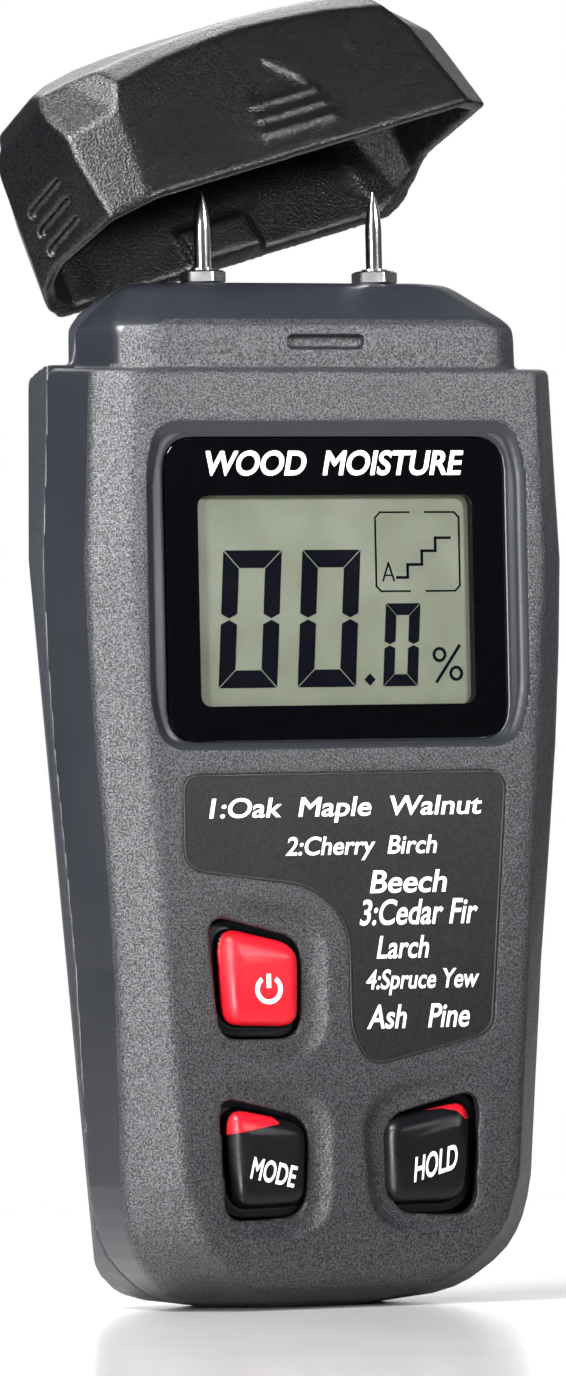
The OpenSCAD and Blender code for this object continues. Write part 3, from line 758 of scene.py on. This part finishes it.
def line(points, width):
    """Square-ended strokes between points, one polygon each."""
    out = []
    for (x0, z0), (x1, z1) in zip(points, points[1:]):
        d = np.array([x1 - x0, z1 - z0])
        d = d / np.linalg.norm(d) * width / 2
        n = np.array([-d[1], d[0]])
        a, b = np.array([x0, z0]) - d, np.array([x1, z1]) + d
        out.append([a - n, b - n, b + n, a + n])
    return out


def diamond(x, z, r):
    return [(x + r, z), (x, z + r), (x - r, z), (x, z - r)]


def arc(x, z, r, a0, a1, width, count=32):
    """A curved stroke as one polygon."""
    turns = [math.radians(a) for a in np.linspace(a0, a1, count)]
    outer = [(x + (r + width / 2) * math.cos(a), z + (r + width / 2) * math.sin(a)) for a in turns]
    inner = [(x + (r - width / 2) * math.cos(a), z + (r - width / 2) * math.sin(a)) for a in turns]
    return [outer + inner[::-1]]


LIT = -11.75
marks = zero(-16.8, -8.4, 81.4, 99.4, 2.3) + zero(-5.4, 3.0, 81.4, 99.4, 2.3)
marks += zero(7.0, 12.0, 81.4, 92.3, 1.55) + [diamond(5.1, 82.3, 0.8)]
marks += line([(14.9, 82.0), (18.2, 86.6)], 0.4) + arc(15.3, 85.5, 0.8, 0, 359, 0.4)
marks += arc(17.7, 83.0, 0.8, 0, 359, 0.4)
box_line = [(11.2, 104.3), (7.0, 104.3), (6.3, 103.6), (6.3, 94.6), (7.0, 93.9), (11.2, 93.9)]
marks += line(box_line, 0.22) + line([(24.8 - x, z) for x, z in box_line], 0.22)
marks += line([(9.4, 95.7), (10.9, 95.7), (10.9, 97.4), (13.0, 97.4), (13.0, 99.2), (15.0, 99.2),
               (15.0, 100.9), (17.1, 100.9)], 0.35)
marks += line([(7.3, 95.3), (8.1, 97.6), (8.9, 95.3)], 0.22)
marks += line([(7.6, 96.0), (8.6, 96.0)], 0.2)
shape_set("lcd_figures", marks, LIT - 0.06, LIT + 0.02, "segment")

rim = frame_plate(LABEL, inset(LABEL, 0.05), [(0.05, None, -13.96), (0.05, None, -13.99),
                                              (0, 0.35, -13.99), (0, 0.35, -13.96)], "label_rim")
paint(rim, "label_edge")


INK_DEPTH = 0.03


def lettering(name, text, x0, x1, z0, z1, y, body="housing", shear=0.2, tilt=0.0,
              bold=0.016):
    """Plain lettering that fills a box in XZ, leaning and tilted as asked."""
    curve = bpy.data.curves.new(name, "FONT")
    curve.body = text
    curve.bevel_depth = bold
    curve.bevel_resolution = 0
    curve.extrude = 0.01
    tmp = bpy.data.objects.new(name, curve)
    bpy.context.scene.collection.objects.link(tmp)
    graph = bpy.context.evaluated_depsgraph_get()
    mesh = bpy.data.meshes.new_from_object(tmp.evaluated_get(graph))
    bpy.data.objects.remove(tmp)
    pts = np.array([v.co[:] for v in mesh.vertices])
    lo, hi = pts.min(0), pts.max(0)
    u = (pts[:, 0] - lo[0]) / (hi[0] - lo[0])
    v = (pts[:, 1] - lo[1]) / (hi[1] - lo[1])
    height = z1 - z0
    x = x0 + u * (x1 - x0 - shear * height) + v * shear * height
    z = z0 + v * height
    z = z + (x - (x0 + x1) / 2) * math.tan(math.radians(tilt))
    depth = y + INK_DEPTH * (0.5 - (pts[:, 2] - lo[2]) / (hi[2] - lo[2]))
    for vert, px, py, pz in zip(mesh.vertices, x, depth, z):
        vert.co = (px * MM, py * MM, pz * MM)
    obj = bpy.data.objects.new(name, mesh)
    bpy.context.scene.collection.objects.link(obj)
    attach(obj, body)
    paint(obj, "white_ink")


lettering("title", "WOOD  MOISTURE", -19.2, 18.9, 109.1, 112.4, -13.0,
          bold=0.026)
LINES = [("1:Oak  Maple  Walnut", -19.7, 20.3, 63.6, 67.0),
         ("2:Cherry  Birch", -8.8, 13.6, 58.6, 61.8),
         ("Beech", 3.4, 15.0, 54.2, 57.2), ("3:Cedar Fir", 1.8, 19.4, 50.0, 53.4),
         ("Larch", 4.2, 12.2, 45.6, 48.6), ("4:Spruce Yew", 2.3, 19.3, 40.8, 44.2),
         ("Ash   Pine", 2.6, 18.0, 36.4, 39.6)]
for i, (text, x0, x1, z0, z1) in enumerate(LINES):
    lettering("wood_line_%d" % (i + 1), text, x0, x1, z0, z1, -13.95)
KEY_INK_Y = -14.74
lettering("mode_word", "MODE", -15.1, -8.1, 16.6, 19.6, KEY_INK_Y, "mode_key",
          shear=0.25, tilt=-13, bold=0.022)
lettering("hold_word", "HOLD", 8.6, 15.2, 17.0, 20.3, KEY_INK_Y, "hold_key",
          shear=0.1, tilt=15, bold=0.022)
power_sign = arc(-11.8, 42.0, 1.65, 126, 414, 0.62) + line([(-11.8, 42.5), (-11.8, 43.7)], 0.62)
shape_set("power_sign", power_sign, -14.76, -14.5, "white_ink", "power_key")

# ---------------------------------------------------------------- stage and camera


def area_light(name, place, target, size, power, glossy=True, spread=180):
    """A soft light that the camera doesn't see, aimed at a point."""
    data = bpy.data.lights.new(name, "AREA")
    data.shape = "RECTANGLE"
    data.size, data.size_y = size
    data.energy = power
    data.spread = math.radians(spread)
    obj = bpy.data.objects.new(name, data)
    bpy.context.scene.collection.objects.link(obj)
    obj.location = place
    obj.rotation_euler = (Vector(target) - Vector(place)).to_track_quat("-Z", "Y").to_euler()
    obj.visible_camera = False
    obj.visible_glossy = glossy


mid = (0, 0, 0.08)
area_light("key_left", (-0.85, -0.56, 0.12), mid, (0.13, 0.9), 27)
area_light("front_fill", (-0.1, -1.3, 0.6), mid, (0.9, 0.7), 0.8, glossy=False)
area_light("front_gloss", (0.25, -0.50, 0.31), (0, 0, 0.125), (0.2, 0.12), 0.155, spread=17)
area_light("high_left", (-0.54, -0.14, 0.75), (0, 0, 0.14), (0.3, 0.3), 20)
area_light("rim_back", (0.10, 0.60, 0.72), (0, 0, 0.14), (0.6, 0.3), 5)
area_light("low_back", (0.45, 0.75, 0.25), (0.1, 0, 0.2), (0.75, 0.5), 1.1)

world = bpy.data.worlds.new("studio")
world.use_nodes = True
bpy.context.scene.world = world
tree = world.node_tree
back = tree.nodes["Background"]
back.inputs["Color"].default_value = (0.075, 0.077, 0.085, 1)
white = tree.nodes.new("ShaderNodeBackground")
white.inputs["Color"].default_value = (1, 1, 1, 1)
path = tree.nodes.new("ShaderNodeLightPath")
mix = tree.nodes.new("ShaderNodeMixShader")
tree.links.new(path.outputs["Is Camera Ray"], mix.inputs["Fac"])
tree.links.new(back.outputs[0], mix.inputs[1])
tree.links.new(white.outputs[0], mix.inputs[2])
tree.links.new(mix.outputs[0], tree.nodes["World Output"].inputs["Surface"])

FLOOR_RADIUS_MM = 420
ring = [(FLOOR_RADIUS_MM * math.cos(a), FLOOR_RADIUS_MM * math.sin(a), 0)
        for a in np.linspace(0, 2 * math.pi, 96, endpoint=False)]
floor = new_object("floor", ring, [tuple(range(96))], body=None)
m = Nodes("floor_white")
m.link(m.ramp(m.noise(30), (0.3, grey(0.50)), (0.7, grey(0.53))), m.shader.inputs["Base Color"])
m.shader.inputs["Roughness"].default_value = 0.16
floor.data.materials.append(m.mat)

YAW, PITCH, ROLL = math.radians(25), math.radians(-0.70), math.radians(1.16)
DISTANCE = 1.4
LENS = 277.0
LONG_SIDE = 36.0
AIM = Vector((0, 0, 0.075))
cam_data = bpy.data.cameras.new("camera")
cam_data.lens = LENS
cam_data.sensor_width = LONG_SIDE
cam_data.clip_start, cam_data.clip_end = 0.05, 50
cam = bpy.data.objects.new("camera", cam_data)
bpy.context.scene.collection.objects.link(cam)
forward = Vector((math.sin(YAW) * math.cos(PITCH), math.cos(YAW) * math.cos(PITCH),
                  -math.sin(PITCH)))
facing = forward.to_track_quat("-Z", "Y").to_matrix().to_4x4()
rolled = Matrix.Rotation(-ROLL, 4, "Z")
cam.matrix_world = Matrix.Translation(AIM - forward * DISTANCE) @ facing @ rolled
cam_data.shift_x = -0.01105
cam_data.shift_y = 0.0359
bpy.context.scene.camera = cam
bpy.context.scene.view_settings.view_transform = "Standard"
